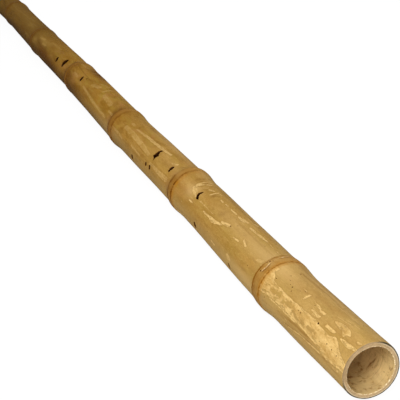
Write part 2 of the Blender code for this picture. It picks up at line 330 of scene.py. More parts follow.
# The mesh: lines round the cane, most of them on the photographed side, and rows along it, in metres
FINE = 160
DENSE_SHARE = 0.68
DENSE_FROM = -62
DENSE_TO = 124
FINE_ROW = 0.0021
COARSE_ROW = 0.0046
FINE_ROWS_END = 0.42
FINE_LINES_END = 0.44
BUTT_ROWS = (0.0016, 0.0030)
FAR_END_ROWS = (0.003, 0.0012)

# Rows by a node, in mm past it, and by a groove, in mm past that
ROWS_BEFORE = (-34, -30, -26, -22, -18.5, -15.5, -13, -11, -9.6)
ROWS_PAST = (7.0, 8.2, 9.8, 11.6, 13.6, 16, 18.5, 21.5)
GROOVE_ROWS = (-1.2, -0.7, -0.35, 0, 0.35, 0.7, 1.2)
BETWEEN_GROOVES = 9
GROOVE_CLEARANCE = 1.6
BETWEEN_CLEARANCE = 1.9

# A sawn end: shares of the wall where the face has rows, then the rounded edge as distances from the end
# and below the skin
FACE_SHARES = (0.10, 0.25, 0.45, 0.65, 0.82, 0.93)
EDGE_ROUNDING = ((0.00006, 0.00050), (0.00030, 0.00018), (0.00085, 0.00003))
SAW_MARK = 0.00005

# Ends of the open bores and of the inner hollows: distance from the diaphragm, then share of the bore
BORE_DOME = ((0.0004, 0.55), (0.0016, 0.72), (0.004, 0.86), (0.008, 0.95), (0.014, 1.0))
HOLLOW_DOME = ((0.0006, 0.55), (0.003, 0.80), (0.008, 0.95), (0.014, 1.0))
HOLLOW_SHARES = (0.2, 0.35, 0.5, 0.65, 0.8)
HOLLOW_SIDES = 40

# Rows in an open bore: how far in it shows, the row next to its rim, then the number of rows in the hidden
# part and in the shown part of each end
BORE_SHOWN = 0.046
BORE_FIRST_ROW = 0.0022
BORE_ROWS = 6
BUTT_SHOWN_ROWS = 38
FAR_SHOWN_ROWS = 10

# Scattered marks on the sides that the photo doesn't show: seeds, groups of pinholes, single strokes, and
# patches of strokes with the strokes in each
SCATTERED_PINHOLES_SEED = 31
PINHOLE_GROUPS = 13
SCATTERED_STROKES_SEED = 37
SINGLE_STROKES = 120
STROKE_PATCHES = 9
PATCH_STROKES = 9

# Scraped marks: how far their depth is kept in mm, how soft their step is in mm, and its height in metres.
# The photographed side has only its own strokes up to a station in mm
SCRAPE_REACH = 5.0
SCRAPE_SOFTNESS = 0.8
SCRAPE_STEP = 0.00012
OWN_STROKES_END = 1620

# Painted shade along the skin, two dark strips that stand in for the darker sides at the outline: turn and
# spread in degrees
OUTLINE_SHADE = ((-56, 12), (139, 13))

# The culm's materials, in the order of its slots, and the angle from which its edges look sharp
SKIN, SAWN, BORE, INSIDE = range(4)
SHARP_ANGLE = math.radians(42)


def waves(seed, count, most_round, least_along, most_along):
    """Random ripples: turns per circle, waves per metre, phase and strength."""
    picks = np.random.default_rng(seed)
    around = picks.integers(0, most_round + 1, count)
    along = picks.uniform(least_along, most_along, count) * picks.choice((-1, 1), count)
    return around, along * 2 * math.pi, picks.uniform(0, 2 * math.pi, count), picks.normal(0, 1, count)


def ripple(station, turn, table):
    """Sum of ripples at each station and turn, about 1 in strength."""
    total = np.zeros(np.broadcast(station, turn).shape)
    angle = np.radians(turn)
    for around, along, phase, strength in zip(*table):
        total += strength * np.cos(around * angle + along * station + phase)
    return total / math.sqrt(len(table[0]) / 2)


UNDULATION = waves(3, 14, 3, 1, 9)
FLUTING = waves(5, 20, 16, 0.5, 6)
DIMPLES = waves(7, 40, 30, 10, 90)
BORE_FIBRE = waves(11, 40, 60, 2, 30)
RIM_CHIPS = waves(13, 30, 70, 0, 1)
WANDER = [waves(20 + number, 3, 3, 0, 0.01) for number in range(len(NODES))]


def culm_diameter(station):
    """Diameter of the cane without its rings."""
    places = []
    sizes = []
    for end, (length, near, far) in zip(ENDS, INTERNODES):
        places += [end - length + LEVEL_BY_NODE, end - LEVEL_BY_NODE]
        sizes += [near, far]
    return np.interp(station, places, sizes)


def centre_line(station):
    """The middle of the cane, as (y, z): straight between nodes, level across each."""
    heights = [BUTT_HEIGHT] + [ring / 2 + gap for ring, gap in NODES] + [FAR_END_HEIGHT]
    places = []
    y_values = []
    z_values = []
    for place, aside, height in zip([0.0] + ENDS, ASIDE, heights):
        places += [place - LEVEL_BY_NODE, place + LEVEL_BY_NODE]
        y_values += [aside, aside]
        z_values += [height, height]
    return np.interp(station, places, y_values), np.interp(station, places, z_values)


def wander(station, turn):
    """How far the rings stray along the cane, in metres."""
    fade_length = 0.020
    half_mm = 0.0005
    shift = np.zeros(np.broadcast(station, turn).shape)
    for node, (_, _, reach), table in zip(NODE_STATIONS, GROOVES, WANDER):
        fade = np.exp(-((station - node) / fade_length) ** 2)
        shift += fade * reach * half_mm * ripple(0.0, turn, table)
    return shift


def straightened(station, turn):
    """The station that a point would have if its ring didn't wander."""
    row = np.array(station, float)
    for _ in range(4):
        row = station - wander(row, turn)
    return row


def past_node(row):
    """Distance past the nearest node in mm, and that node's number."""
    gaps = row[..., None] - NODE_STATIONS
    nearest = np.abs(gaps).argmin(-1)
    return np.take_along_axis(gaps, nearest[..., None], -1)[..., 0] * 1000, nearest


def ring_share(step):
    """Share of a ring's rise at a distance past its node, with the corners of its outline eased."""
    spots, shares = zip(*SWELLING)
    return sum(np.interp(step + shift, spots, shares) for shift in (-1.0, -0.5, 0.0, 0.5, 1.0)) / 5


def groove_steps(row):
    """Distance past the nearest node's two grooves in mm."""
    step, nearest = past_node(row)
    grooves = np.array([pair[:2] for pair in GROOVES])[nearest]
    return step - grooves[..., 0], step - grooves[..., 1]


def crack_gap(row, turn):
    """Distance past the first node's crack in mm, and how open the crack is there."""
    gap = (row - NODE_STATIONS[0]) * 1000 - np.interp(turn, *zip(*CRACK))
    return gap, np.interp(turn, *zip(*CRACK_TONES))


def blots(along, turn, places):
    """Sum of soft round patches, each with its own reach and strength."""
    total = 0.0
    for station, middle, reach, spread, strength in places:
        off = (turn - middle + 180) % 360 - 180
        total = total + strength * np.exp(-((along - station) / reach) ** 2 - (off * ARC / spread) ** 2)
    return total


def skin_radius(row, turn):
    """Radius of the skin with its rings, grooves, crack, bulges and fine relief."""
    step, nearest = past_node(row)
    rings = np.array([ring for ring, _ in NODES])[nearest] / 2
    plain = culm_diameter(row) / 2
    share = ring_share(step)
    radius = plain + (rings - plain) * share
    near, far = groove_steps(row)
    cut = np.exp(-(near / GROOVE_WIDTH) ** 2) + np.exp(-(far / GROOVE_WIDTH) ** 2)
    cut = np.array(GROOVE_DEPTHS)[nearest] * cut
    gap, openness = crack_gap(row, turn)
    cut = cut + CRACK_DEPTH * openness * np.exp(-(gap / CRACK_WIDTH) ** 2)
    radius = radius - 0.001 * cut
    calm = 1 - RING_CALM * np.clip(share, 0, 1)
    relief = UNDULATION_HEIGHT * ripple(row, turn, UNDULATION) + FLUTING_HEIGHT * ripple(row, turn, FLUTING)
    relief = relief * calm + DIMPLE_HEIGHT * ripple(row, turn, DIMPLES) + blots(row * 1000, turn, BULGES)
    return radius + 0.001 * relief


def bore_radius(station, turn):
    rough = BORE_HEIGHT * ripple(station, turn, BORE_FIBRE)
    rough = rough + BORE_HEIGHT * ripple(station, turn, UNDULATION)
    return culm_diameter(station) / 2 - WALL + 0.001 * rough


def on_cane(station, turn, radius):
    """Points at stations, turns in degrees and radii from the centre line."""
    y, z = centre_line(station)
    angle = np.radians(turn)
    return np.stack(np.broadcast_arrays(
        LENGTH / 2 - station, y - radius * np.sin(angle), z + radius * np.cos(angle)), -1)


def line_turns():
    """Turns of the lengthwise lines of the mesh, closer together on the photographed side."""
    dense = round(FINE * DENSE_SHARE)
    shown = np.linspace(DENSE_FROM, DENSE_TO, dense, endpoint=False)
    hidden = np.linspace(DENSE_TO, DENSE_FROM + 360, FINE - dense, endpoint=False)
    return np.concatenate([shown, hidden])


def row_stations():
    """Stations of the skin's rows, closer together at the butt, round the nodes and in their grooves."""
    places = list(BUTT_ROWS)
    for node, (near, far, _) in zip(NODE_STATIONS, GROOVES):
        steps = [step for step in ROWS_BEFORE if step < near - GROOVE_CLEARANCE]
        steps += [near + shift for shift in GROOVE_ROWS]
        steps += list(np.linspace(near + BETWEEN_CLEARANCE, far - BETWEEN_CLEARANCE, BETWEEN_GROOVES))
        steps += [far + shift for shift in GROOVE_ROWS]
        steps += [step for step in ROWS_PAST if step > far + GROOVE_CLEARANCE]
        first = node + steps[0] / 1000
        gap = FINE_ROW if places[-1] < FINE_ROWS_END else COARSE_ROW
        count = max(1, round((first - places[-1]) / gap))
        places += list(np.linspace(places[-1], first, count + 1)[1:-1])
        places += [node + step / 1000 for step in steps]
    last, edge = (LENGTH - inset for inset in FAR_END_ROWS)
    count = round((last - places[-1]) / COARSE_ROW)
    places += list(np.linspace(places[-1], last, count + 1)[1:])
    return places + [edge]


def end_rows(station, inward, chip):
    """Rows of a sawn end, from the bore's rim to the skin: the face with a broken inner edge."""
    turn = line_turns()
    angle = np.radians(turn)
    ragged = ripple(0.0, turn, RIM_CHIPS)
    rim = culm_diameter(station) / 2 - WALL + 0.001 * BORE_HEIGHT * ragged
    skin = skin_radius(np.full(FINE, station), turn)
    notch = 0.001 * chip * np.clip(ragged - 0.9, 0, 2)
    rows = [(station + inward * (0.0011 + notch), rim - 0.0001)]
    rows.append((station + inward * (0.00035 + notch), rim + 0.00005 + 0.3 * notch))
    for share in FACE_SHARES:
        saw = SAW_MARK * (1 + np.sin(angle + share * 9 + 40 * share * np.cos(angle)))
        rows.append((station + inward * saw, rim + (skin - rim) * share))
    for inset, drop in EDGE_ROUNDING:
        rows.append((np.full(FINE, station + inward * inset), skin - drop))
    return rows


def add_ring(points, station, turn, radius):
    start = len(points)
    points.extend(on_cane(station, turn, radius).tolist())
    return list(range(start, len(points)))


def join(faces, first, second):
    """Faces between two rings, the second with as many points or half as many."""
    count = len(first)
    if len(second) == count:
        for index in range(count):
            after = (index + 1) % count
            faces.append((first[index], first[after], second[after], second[index]))
        return
    for index in range(len(second)):
        after = (index + 1) % len(second)
        left, middle, right = first[2 * index], first[2 * index + 1], first[2 * after]
        faces.append((left, middle, second[index]))
        faces.append((middle, second[after], second[index]))
        faces.append((middle, right, second[after]))


def cap(faces, ring, middle, flip):
    for index, point in enumerate(ring):
        after = ring[(index + 1) % len(ring)]
        faces.append((middle, after, point) if flip else (middle, point, after))


def hollow_rows(start, end, direction):
    """Stations and shares of the bore from a diaphragm outwards to a sawn end."""
    depth = abs(end - start)
    rows = [(start + direction * step, share) for step, share in BORE_DOME]
    far_part = np.linspace(BORE_DOME[-1][0], depth - BORE_SHOWN, BORE_ROWS)[1:]
    rows += [(start + direction * place, 1.0) for place in far_part]
    count = BUTT_SHOWN_ROWS if start < LENGTH / 2 else FAR_SHOWN_ROWS
    shown_part = np.linspace(BORE_SHOWN, BORE_FIRST_ROW, count)[1:]
    rows += [(end - direction * place, 1.0) for place in shown_part]
    return rows


def build_culm():
    """The closed body: up the butt's bore, over the sawn face, down the skin and back up the far bore."""
    first = NODE_STATIONS[0] - DIAPHRAGM / 2
    last = NODE_STATIONS[-1] + DIAPHRAGM / 2
    points = [on_cane(first, 0.0, 0.0).tolist()]
    faces = []
    turn = line_turns()
    coarse = turn[::2]
    rings = []
    for station, share in hollow_rows(first, 0.0, -1):
        rings.append(add_ring(points, station, turn, share * bore_radius(station, turn)))
    for station, radius in end_rows(0.0, 1, 0.55):
        rings.append(add_ring(points, station, turn, radius))
    cap(faces, rings[0], 0, False)
    for place in row_stations():
        lines = turn if place < FINE_LINES_END else coarse
        station = place + wander(place, lines)
        rings.append(add_ring(points, station, lines, skin_radius(np.full(len(lines), place), lines)))
    for station, radius in reversed(end_rows(LENGTH, -1, 0.5)):
        rings.append(add_ring(points, station[::2], coarse, radius[::2]))
    for station, share in reversed(hollow_rows(last, LENGTH, 1)):
        rings.append(add_ring(points, station, coarse, share * bore_radius(station, coarse)))
    for before, after in zip(rings, rings[1:]):
        join(faces, before, after)
    points.append(on_cane(last, 0.0, 0.0).tolist())
    cap(faces, rings[-1], len(points) - 1, True)
    return points, faces


def mesh_from(name, points, faces):
    mesh = bpy.data.meshes.new(name)
    mesh.from_pydata([tuple(point) for point in points], [], faces)
    body = bmesh.new()
    body.from_mesh(mesh)
    body.normal_update()
    bmesh.ops.recalc_face_normals(body, faces=body.faces)
    body.to_mesh(mesh)
    body.free()
    return mesh


def new_object(name, mesh, collection):
    made = bpy.data.objects.new(name, mesh)
    collection.objects.link(made)
    return made


def hollow_mesh(name, near, far):
    """A closed hollow between two diaphragms, with domed ends."""
    points = [on_cane(near, 0.0, 0.0).tolist()]
    faces = []
    turn = np.linspace(0, 360, HOLLOW_SIDES, endpoint=False)
    places = [(near + step, share) for step, share in HOLLOW_DOME]
    places += [(near + (far - near) * share, 1.0) for share in HOLLOW_SHARES]
    places += [(far - step, share) for step, share in reversed(HOLLOW_DOME)]
    rings = []
    for station, share in places:
        radius = share * (culm_diameter(station) / 2 - WALL)
        rings.append(add_ring(points, station, turn, radius))
    points.append(on_cane(far, 0.0, 0.0).tolist())
    cap(faces, rings[0], 0, False)
    for before, after in zip(rings, rings[1:]):
        join(faces, before, after)
    cap(faces, rings[-1], len(points) - 1, True)
    return mesh_from(name, points, faces)


def slit_outline(spots, widths, seed):
    """Left and right edges of a slit in mm along and mm round, with tips."""
    picks = np.random.default_rng(seed)
    path = np.array([(station, turn * ARC) for station, turn in spots], float)
    spans = np.concatenate([[0], np.cumsum(np.hypot(*np.diff(path, axis=0).T))])
    count = max(6, round(spans[-1] / SLIT_STEP))
    at = np.linspace(0, spans[-1], count)
    along = np.interp(at, spans, path[:, 0])
    around = np.interp(at, spans, path[:, 1])
    for _ in range(2):
        along[1:-1] = (along[:-2] + 2 * along[1:-1] + along[2:]) / 4
        around[1:-1] = (around[:-2] + 2 * around[1:-1] + around[2:]) / 4
    half = np.interp(at / spans[-1], np.linspace(0, 1, len(widths)), widths)
    half = half * (1 + SLIT_UNEVEN * picks.normal(0, 1, count))
    half = half * np.clip(4.5 * np.minimum(at, spans[-1] - at) / spans[-1] + 0.35, 0, 1)
    direction = np.stack([np.gradient(along), np.gradient(around)], 1)
    direction /= np.linalg.norm(direction, axis=1)[:, None]
    sideways = np.stack([-direction[:, 1], direction[:, 0]], 1)
    middle = np.stack([along, around], 1)
    left = middle + sideways * half[:, None]
    right = middle - sideways * half[:, None]
    tips = (middle[0] - direction[0] * SLIT_TIP, middle[-1] + direction[-1] * SLIT_TIP)
    return left, right, tips


def slit_mesh(name, spots, widths, seed):
    """A prism through the wall that follows the slit, a little narrower inside."""
    left, right, tips = slit_outline(spots, widths, seed)
    middle = (left + right) / 2
    points = []
    faces = []
    loops = []
    for height, narrow in SLIT_LEVELS:
        edge = np.concatenate([
            [tips[0]], middle + (left - middle) * narrow, [tips[1]],
            (middle + (right - middle) * narrow)[::-1]])
        stations = edge[:, 0] / 1000
        radius = culm_diameter(stations) / 2 + height
        loops.append(add_ring(points, stations, edge[:, 1] / ARC, radius))
    for upper, lower in zip(loops, loops[1:]):
        join(faces, upper, lower)
    size = len(loops[0])
    count = len(left)
    for loop in (loops[0], loops[-1]):
        faces.append((loop[0], loop[1], loop[-1]))
        for index in range(1, count):
            faces.append((loop[index], loop[index + 1], loop[size - index - 1], loop[size - index]))
        faces.append((loop[count], loop[count + 1], loop[count + 2]))
    return mesh_from(name, points, faces)


def pinhole_mesh(name, station, turn, size, seed):
    """A narrow pit with uneven sides."""
    picks = np.random.default_rng(seed)
    angle = np.linspace(0, 2 * math.pi, PINHOLE_SIDES, endpoint=False)
    uneven = size * picks.uniform(0.75, 1.15, PINHOLE_SIDES)
    surface = float(skin_radius(np.array([station / 1000]), np.array([float(turn)]))[0])
    points = []
    loops = []
    for height, scale in PINHOLE_LEVELS:
        stations = (station + scale * uneven * np.cos(angle)) / 1000
        turns = turn + scale * uneven * np.sin(angle) / ARC
        loops.append(add_ring(points, stations, turns, surface + height))
    faces = []
    for upper, lower in zip(loops, loops[1:]):
        join(faces, upper, lower)
    faces.append(tuple(loops[0]))
    faces.append(tuple(loops[-1]))
    return mesh_from(name, points, faces)


def scattered_pinholes():
    """More pinholes on the sides that the photo doesn't show, in loose groups."""
    picks = np.random.default_rng(SCATTERED_PINHOLES_SEED)
    made = []
    for _ in range(PINHOLE_GROUPS):
        station = picks.uniform(20, 1960)
        turn = picks.uniform(135, 290)
        for _ in range(picks.integers(1, 4)):
            spot = station + picks.normal(0, 16)
            if min(abs(spot - 1000 * node) for node in NODE_STATIONS) > 12 and 8 < spot < 1990:
                made.append((spot, turn + picks.normal(0, 14), picks.uniform(0.35, 0.65)))
    return made


def drop_slivers(mesh):
    """Deletes slivers of wall that a slit has cut loose: all but the largest connected surface."""
    body = bmesh.new()
    body.from_mesh(mesh)
    unseen = set(body.verts)
    surfaces = []
    for start in body.verts:
        if start not in unseen:
            continue
        unseen.remove(start)
        surface = [start]
        for vertex in surface:
            for edge in vertex.link_edges:
                other = edge.other_vert(vertex)
                if other in unseen:
                    unseen.remove(other)
                    surface.append(other)
        surfaces.append(surface)
    surfaces.sort(key=len)
    loose = [vertex for surface in surfaces[:-1] for vertex in surface]
    bmesh.ops.delete(body, geom=loose, context="VERTS")
    body.to_mesh(mesh)
    body.free()


def cut_culm():
    """The finished culm: the closed body less its inner hollows, its slits and its pinholes."""
    root = bpy.context.scene.collection
    cutters = bpy.data.collections.new("cutters")
    root.children.link(cutters)
    culm = new_object("uncut_culm", mesh_from("uncut_culm", *build_culm()), root)
    meshes = []
    for number, (near, far) in enumerate(zip(NODE_STATIONS, NODE_STATIONS[1:])):
        meshes.append(hollow_mesh(f"hollow_{number}", near + DIAPHRAGM / 2, far - DIAPHRAGM / 2))
    for number, (spots, widths) in enumerate(SLITS):
        meshes.append(slit_mesh(f"slit_{number}", spots, widths, SLIT_SEED + number))
    for number, (station, turn, size) in enumerate(list(PINHOLES) + scattered_pinholes()):
        meshes.append(pinhole_mesh(f"pinhole_{number}", station, turn, size, PINHOLE_SEED + number))
    for mesh in meshes:
        new_object(mesh.name, mesh, cutters)
    boolean = culm.modifiers.new("cutters", "BOOLEAN")
    boolean.operation = "DIFFERENCE"
    boolean.solver = "EXACT"
    boolean.operand_type = "COLLECTION"
    boolean.collection = cutters
    evaluated = culm.evaluated_get(bpy.context.evaluated_depsgraph_get())
    mesh = bpy.data.meshes.new_from_object(evaluated)
    mesh.name = "bamboo_culm"
    drop_slivers(mesh)
    for cutter in list(cutters.objects):
        bpy.data.objects.remove(cutter)
    bpy.data.collections.remove(cutters)
    bpy.data.objects.remove(culm)
    return mesh


def stroke_depth(along, around, stroke):
    """How far inside a tapered stroke each point lies, in mm."""
    start_along, start_turn, end_along, end_turn, near_half, far_half = stroke
    span = np.array((end_along - start_along, (end_turn - start_turn) * ARC))
    ahead = along - start_along
    aside = (around / ARC - start_turn + 180) % 360 * ARC - 180 * ARC
    share = np.clip((ahead * span[0] + aside * span[1]) / (span @ span), 0, 1)
    gap = np.hypot(ahead - share * span[0], aside - share * span[1])
    return near_half + (far_half - near_half) * share - gap


def area_depth(along, around, outline):
    """How far inside a closed outline each point lies, in mm."""
    corners = np.array([(station, turn * ARC) for station, turn in outline], float)
    gap = np.full(along.shape, 1e9)
    inside = np.zeros(along.shape, bool)
    for start, end in zip(corners, np.roll(corners, -1, axis=0)):
        gap = np.minimum(gap, -stroke_depth(along, around, (
            start[0], start[1] / ARC, end[0], end[1] / ARC, 0.0, 0.0)))
        crosses = (start[1] > around) != (end[1] > around)
        slope = (end[0] - start[0]) / (end[1] - start[1] if end[1] != start[1] else 1e-9)
        inside ^= crosses & (along < start[0] + (around - start[1]) * slope)
    return np.where(inside, gap, -gap)


def scattered_strokes():
    """Scraped strokes for the far part and the sides not photographed, some of them crowded into patches."""
    picks = np.random.default_rng(SCATTERED_STROKES_SEED)
    centres = [(picks.uniform(15, 1985), picks.uniform(-180, 180), 1, 0.0) for _ in range(SINGLE_STROKES)]
    centres += [(picks.uniform(30, 1950), picks.uniform(140, 285), PATCH_STROKES, 1.0)
                for _ in range(STROKE_PATCHES)]
    made = []
    for station, turn, count, crowded in centres:
        if station < OWN_STROKES_END and DENSE_FROM < (turn + 180) % 360 - 180 < DENSE_TO:
            continue
        for _ in range(count):
            start = station + crowded * picks.normal(0, 22)
            middle = turn + crowded * picks.normal(0, 13)
            length = 4 + picks.gamma(2.0, 8.0 + 8.0 * crowded)
            half = picks.uniform(0.5, 1.6 + 1.4 * crowded)
            pale = picks.uniform(0.35, 0.75 + 0.25 * crowded)
            made.append((start, middle, start + length, middle + picks.normal(0, 4),
                         half, half * picks.uniform(0.5, 1.3), pale))
    return made


def scrape_fields(along, turn):
    """Depth in mm inside the scraped marks, how pale they are, and depth inside the skin left standing."""
    around = turn * ARC
    depth = np.full(along.shape, -SCRAPE_REACH)
    pale = np.zeros(along.shape)
    for outline in SCRAPED_AREAS:
        inside = area_depth(along, around, outline)
        pale = np.where(inside > depth, 1.0, pale)
        depth = np.maximum(depth, inside)
    standing = np.full(along.shape, -SCRAPE_REACH)
    for stroke in LEFT_STANDING:
        standing = np.maximum(standing, stroke_depth(along, around, stroke[:4] + (stroke[4], stroke[4])))
    for stroke in list(STROKES) + scattered_strokes():
        inside = stroke_depth(along, around, stroke[:6])
        pale = np.where(inside > depth, stroke[6], pale)
        depth = np.maximum(depth, inside)
    return np.clip(depth, -SCRAPE_REACH, SCRAPE_REACH), pale, standing


def line_field(along, turn, lines):
    """Strength of the thin brown lines, softened over their half width."""
    total = np.zeros(along.shape)
    for line in lines:
        inside = stroke_depth(along, turn * ARC, line[:6])
        total = np.maximum(total, line[6] * np.clip(0.5 + inside / (line[4] + line[5]), 0, 1))
    return total


def tone_round(turn, nearest, tones):
    """Reading of a node's tones at a turn."""
    rows = [np.interp(turn, RING_TURNS, row, period=360) for row in tones]
    return np.choose(nearest, rows)


def store(mesh, name, values):
    attribute = mesh.attributes.new(name, "FLOAT", "POINT")
    attribute.data.foreach_set("value", np.ascontiguousarray(values, np.float32))


def cane_coordinates(points):
    """Station, turn in degrees from -180 to 180, and radius of points on the cane."""
    station = LENGTH / 2 - points[:, 0]
    y, z = centre_line(station)
    turn = np.degrees(np.arctan2(-(points[:, 1] - y), points[:, 2] - z))
    return station, turn, np.hypot(points[:, 1] - y, points[:, 2] - z)


def read_vectors(items, name):
    """A vector from each vertex or face of a mesh, as rows."""
    values = np.empty(len(items) * 3)
    items.foreach_get(name, values)
    return values.reshape(-1, 3)


def clear_marks(mesh):
    """Removes what the cutting has left in the mesh's point attributes."""
    for name in [attribute.name for attribute in mesh.attributes]:
        attribute = mesh.attributes[name]
        if attribute.domain == "POINT" and not attribute.is_internal and not attribute.is_required:
            mesh.attributes.remove(attribute)


def store_marks(mesh, row, turn, below):
    """Stores where the rings' lines, the crack, the stains and the thin lines are."""
    along = row * 1000
    near, far = groove_steps(row)
    step, nearest = past_node(row)
    width = np.array(LINE_WIDTHS)[nearest]
    store(mesh, "near_groove", np.clip(near / width, -SCRAPE_REACH, SCRAPE_REACH))
    store(mesh, "far_groove", np.clip(far / width, -SCRAPE_REACH, SCRAPE_REACH))
    ring = np.clip((45 - np.abs(step)) / 15, 0, 1)
    for name, tones in (("near_tone", NEAR_TONES), ("far_tone", FAR_TONES), ("band_tone", BAND_TONES)):
        store(mesh, name, ring * tone_round(turn, nearest, tones))
    gap, openness = crack_gap(row, turn)
    store(mesh, "crack", np.clip(gap, -SCRAPE_REACH, SCRAPE_REACH))
    store(mesh, "crack_tone", openness * (np.abs(gap) < 12))
    # Painted shade: where the two dark strips along the outline lie
    store(mesh, "outline_shade", np.max([np.exp(-((turn - middle) / spread) ** 2) for middle, spread in OUTLINE_SHADE], 0))
    store(mesh, "shade_side", np.clip((turn - 70) / 34, 0, 1) * np.clip((170 - turn) / 20, 0, 1))
    store(mesh, "below", below)
    for name, places in (("stain", STAINS), ("lighter", LIGHTER)):
        store(mesh, name, np.clip(blots(along, turn, places), 0, 1))
    in_bore = (below > 2) & (along < 150)
    skin_lines = line_field(along, turn, BROWN_LINES)
    store(mesh, "line", np.where(in_bore, line_field(along, turn, BORE_MARKS), skin_lines))


def sort_faces(mesh):
    """Gives each face its material: skin, sawn end, open bore, or the walls of slits, pits and hollows."""
    centres = read_vectors(mesh.polygons, "center")
    normals = read_vectors(mesh.polygons, "normal")
    station, turn, radius = cane_coordinates(centres)
    angle = np.radians(turn)
    outward = normals[:, 2] * np.cos(angle) - normals[:, 1] * np.sin(angle)
    under = (skin_radius(straightened(station, turn), turn) - radius) * 1000
    from_end = np.minimum(station, LENGTH - station)
    open_part = (station < NODE_STATIONS[0]) | (station > NODE_STATIONS[-1])
    kinds = np.full(len(mesh.polygons), INSIDE)
    kinds[(under < 0.6) & (outward > 0.3)] = SKIN
    kinds[(radius < 0.023) & (outward < 0) & open_part] = BORE
    kinds[(from_end < 0.0004) & (np.abs(normals[:, 0]) > 0.35)] = SAWN
    kinds[(under < 0.6) & (centres[:, 2] < 0.0002)] = SKIN
    mesh.polygons.foreach_set("material_index", kinds.astype(np.int32))


def finish_mesh(mesh):
    """Sinks the scraped marks, holds the culm inside the solid's box, stores its marks, sorts its faces."""
    points = read_vectors(mesh.vertices, "co")
    station, turn, radius = cane_coordinates(points)
    row = straightened(station, turn)
    below = (skin_radius(row, turn) - radius) * 1000
    depth, pale, standing = scrape_fields(row * 1000, turn)
    scraped = np.clip(depth / SCRAPE_SOFTNESS + 0.5, 0, 1) * np.clip(pale, 0, 1)
    sunk = SCRAPE_STEP * scraped * (below < 0.3)
    angle = np.radians(turn)
    points[:, 1] += sunk * np.sin(angle)
    points[:, 2] -= sunk * np.cos(angle)
    low, high = np.array(cad_box, float) * (1 - 1e-6)
    mesh.vertices.foreach_set("co", np.clip(points, low, high).ravel())

    clear_marks(mesh)
    for name, values in (("scrape", depth), ("pale", pale), ("standing", standing)):
        store(mesh, name, values)
    store_marks(mesh, row, turn, below)
    mesh.update()
    sort_faces(mesh)


# Materials


def srgb(red, green, blue):
    """A colour given in screen values from 0 to 255."""
    def linear(value):
        share = value / 255
        return share / 12.92 if share <= 0.04045 else ((share + 0.055) / 1.055) ** 2.4
    return (linear(red), linear(green), linear(blue), 1.0)


class Tree:
    """A short way to write shader nodes. Three numbers stand for a colour in screen values."""

    def __init__(self, name):
        self.material = bpy.data.materials.new(name)
        self.material.use_nodes = True
        self.nodes = self.material.node_tree.nodes
        self.links = self.material.node_tree.links
        self.shader = self.nodes["Principled BSDF"]
        self.place = self.add("TexCoord").outputs["Object"]

    def put(self, socket, value):
        if isinstance(value, bpy.types.NodeSocket):
            self.links.new(value, socket)
        elif isinstance(value, tuple) and len(value) == 3:
            socket.default_value = srgb(*value)
        else:
            socket.default_value = value

    def add(self, kind, **inputs):
        """A shader node with its named inputs filled in, an underscore standing for a space."""
        node = self.nodes.new("ShaderNode" + kind)
        for name, value in inputs.items():
            self.put(node.inputs[name.replace("_", " ")], value)
        return node

    def math(self, operation, first, second=0.0, clamp=False):
        node = self.add("Math")
        node.operation = operation
        node.use_clamp = clamp
        self.put(node.inputs[0], first)
        self.put(node.inputs[1], second)
        return node.outputs[0]

    def plus(self, first, second):
        return self.math("ADD", first, second)

    def minus(self, first, second):
        return self.math("SUBTRACT", first, second)

    def times(self, first, second, clamp=False):
        return self.math("MULTIPLY", first, second, clamp)

    def most(self, first, second):
        return self.math("MAXIMUM", first, second)

    def without(self, value):
        return self.minus(1.0, value)

    def swing(self, noise, reach):
        """A noise centred on 0 and scaled."""
        return self.times(self.minus(noise, 0.5), reach)

    def axes(self):
        """X, Y and Z of the point being shaded."""
        return self.add("SeparateXYZ", Vector=self.place).outputs

    def attribute(self, name):
        node = self.add("Attribute")
        node.attribute_name = name
        return node.outputs["Fac"]

    def stretched(self, along, around, shift=0.0):
        """Object coordinates scaled along the cane and across it."""
        node = self.add("Mapping", Vector=self.place)
        node.inputs["Scale"].default_value = (along, around, around)
        node.inputs["Location"].default_value = (shift, shift * 0.7, -shift)
        return node.outputs[0]

    def noise(self, stretch, detail, roughness, distortion=0.0):
        return self.add("TexNoise", Vector=self.stretched(*stretch), Scale=1.0, Detail=detail,
                        Roughness=roughness, Distortion=distortion).outputs["Fac"]

    def cells(self, stretch):
        """Distance from scattered points."""
        return self.add("TexVoronoi", Vector=self.stretched(*stretch), Scale=1.0).outputs["Distance"]

    def ramp(self, value, low, high, low_out=0.0, high_out=1.0, smooth=True):
        node = self.add("MapRange", Value=value, From_Min=low, From_Max=high,
                        To_Min=low_out, To_Max=high_out)
        node.interpolation_type = "SMOOTHSTEP" if smooth else "LINEAR"
        return node.outputs["Result"]

    def mix(self, share, first, second):
        node = self.add("Mix")
        node.data_type = "RGBA"
        node.clamp_factor = True
        self.put(node.inputs[0], share)
        self.put(node.inputs[6], first)
        self.put(node.inputs[7], second)
        return node.outputs[2]

    def tint(self, colour, share, tone):
        return self.mix(share, colour, tone)

    def layers(self, colour, rows, share=None):
        """Tints a colour by noises: the stretch and grain of each, its ramp and its tone."""
        for stretch, grain, reach, tone in rows:
            amount = self.ramp(self.noise(stretch, *grain), *reach)
            if share is not None:
                amount = self.times(amount, share)
            colour = self.tint(colour, amount, tone)
        return colour

    def near(self, value, middle, width):
        """1 at the middle, falling to 0 a width away."""
        return self.ramp(self.math("ABSOLUTE", self.minus(value, middle)), 0.0, width, 1.0, 0.0)

    def marked(self, name, noise, *reach):
        """A stored mark broken up by a noise."""
        return self.times(self.attribute(name), self.ramp(noise, *reach), clamp=True)

    def bump(self, height, distance, strength=1.0, normal=None):
        node = self.add("Bump", Strength=strength, Distance=distance, Height=height)
        if normal is not None:
            self.put(node.inputs["Normal"], normal)
        return node.outputs[0]

    def finish(self, colour, roughness, normal, specular):
        self.put(self.shader.inputs["Base Color"], colour)
        self.put(self.shader.inputs["Roughness"], roughness)
        self.put(self.shader.inputs["Normal"], normal)
        self.shader.inputs["Specular IOR Level"].default_value = specular
        return self.material


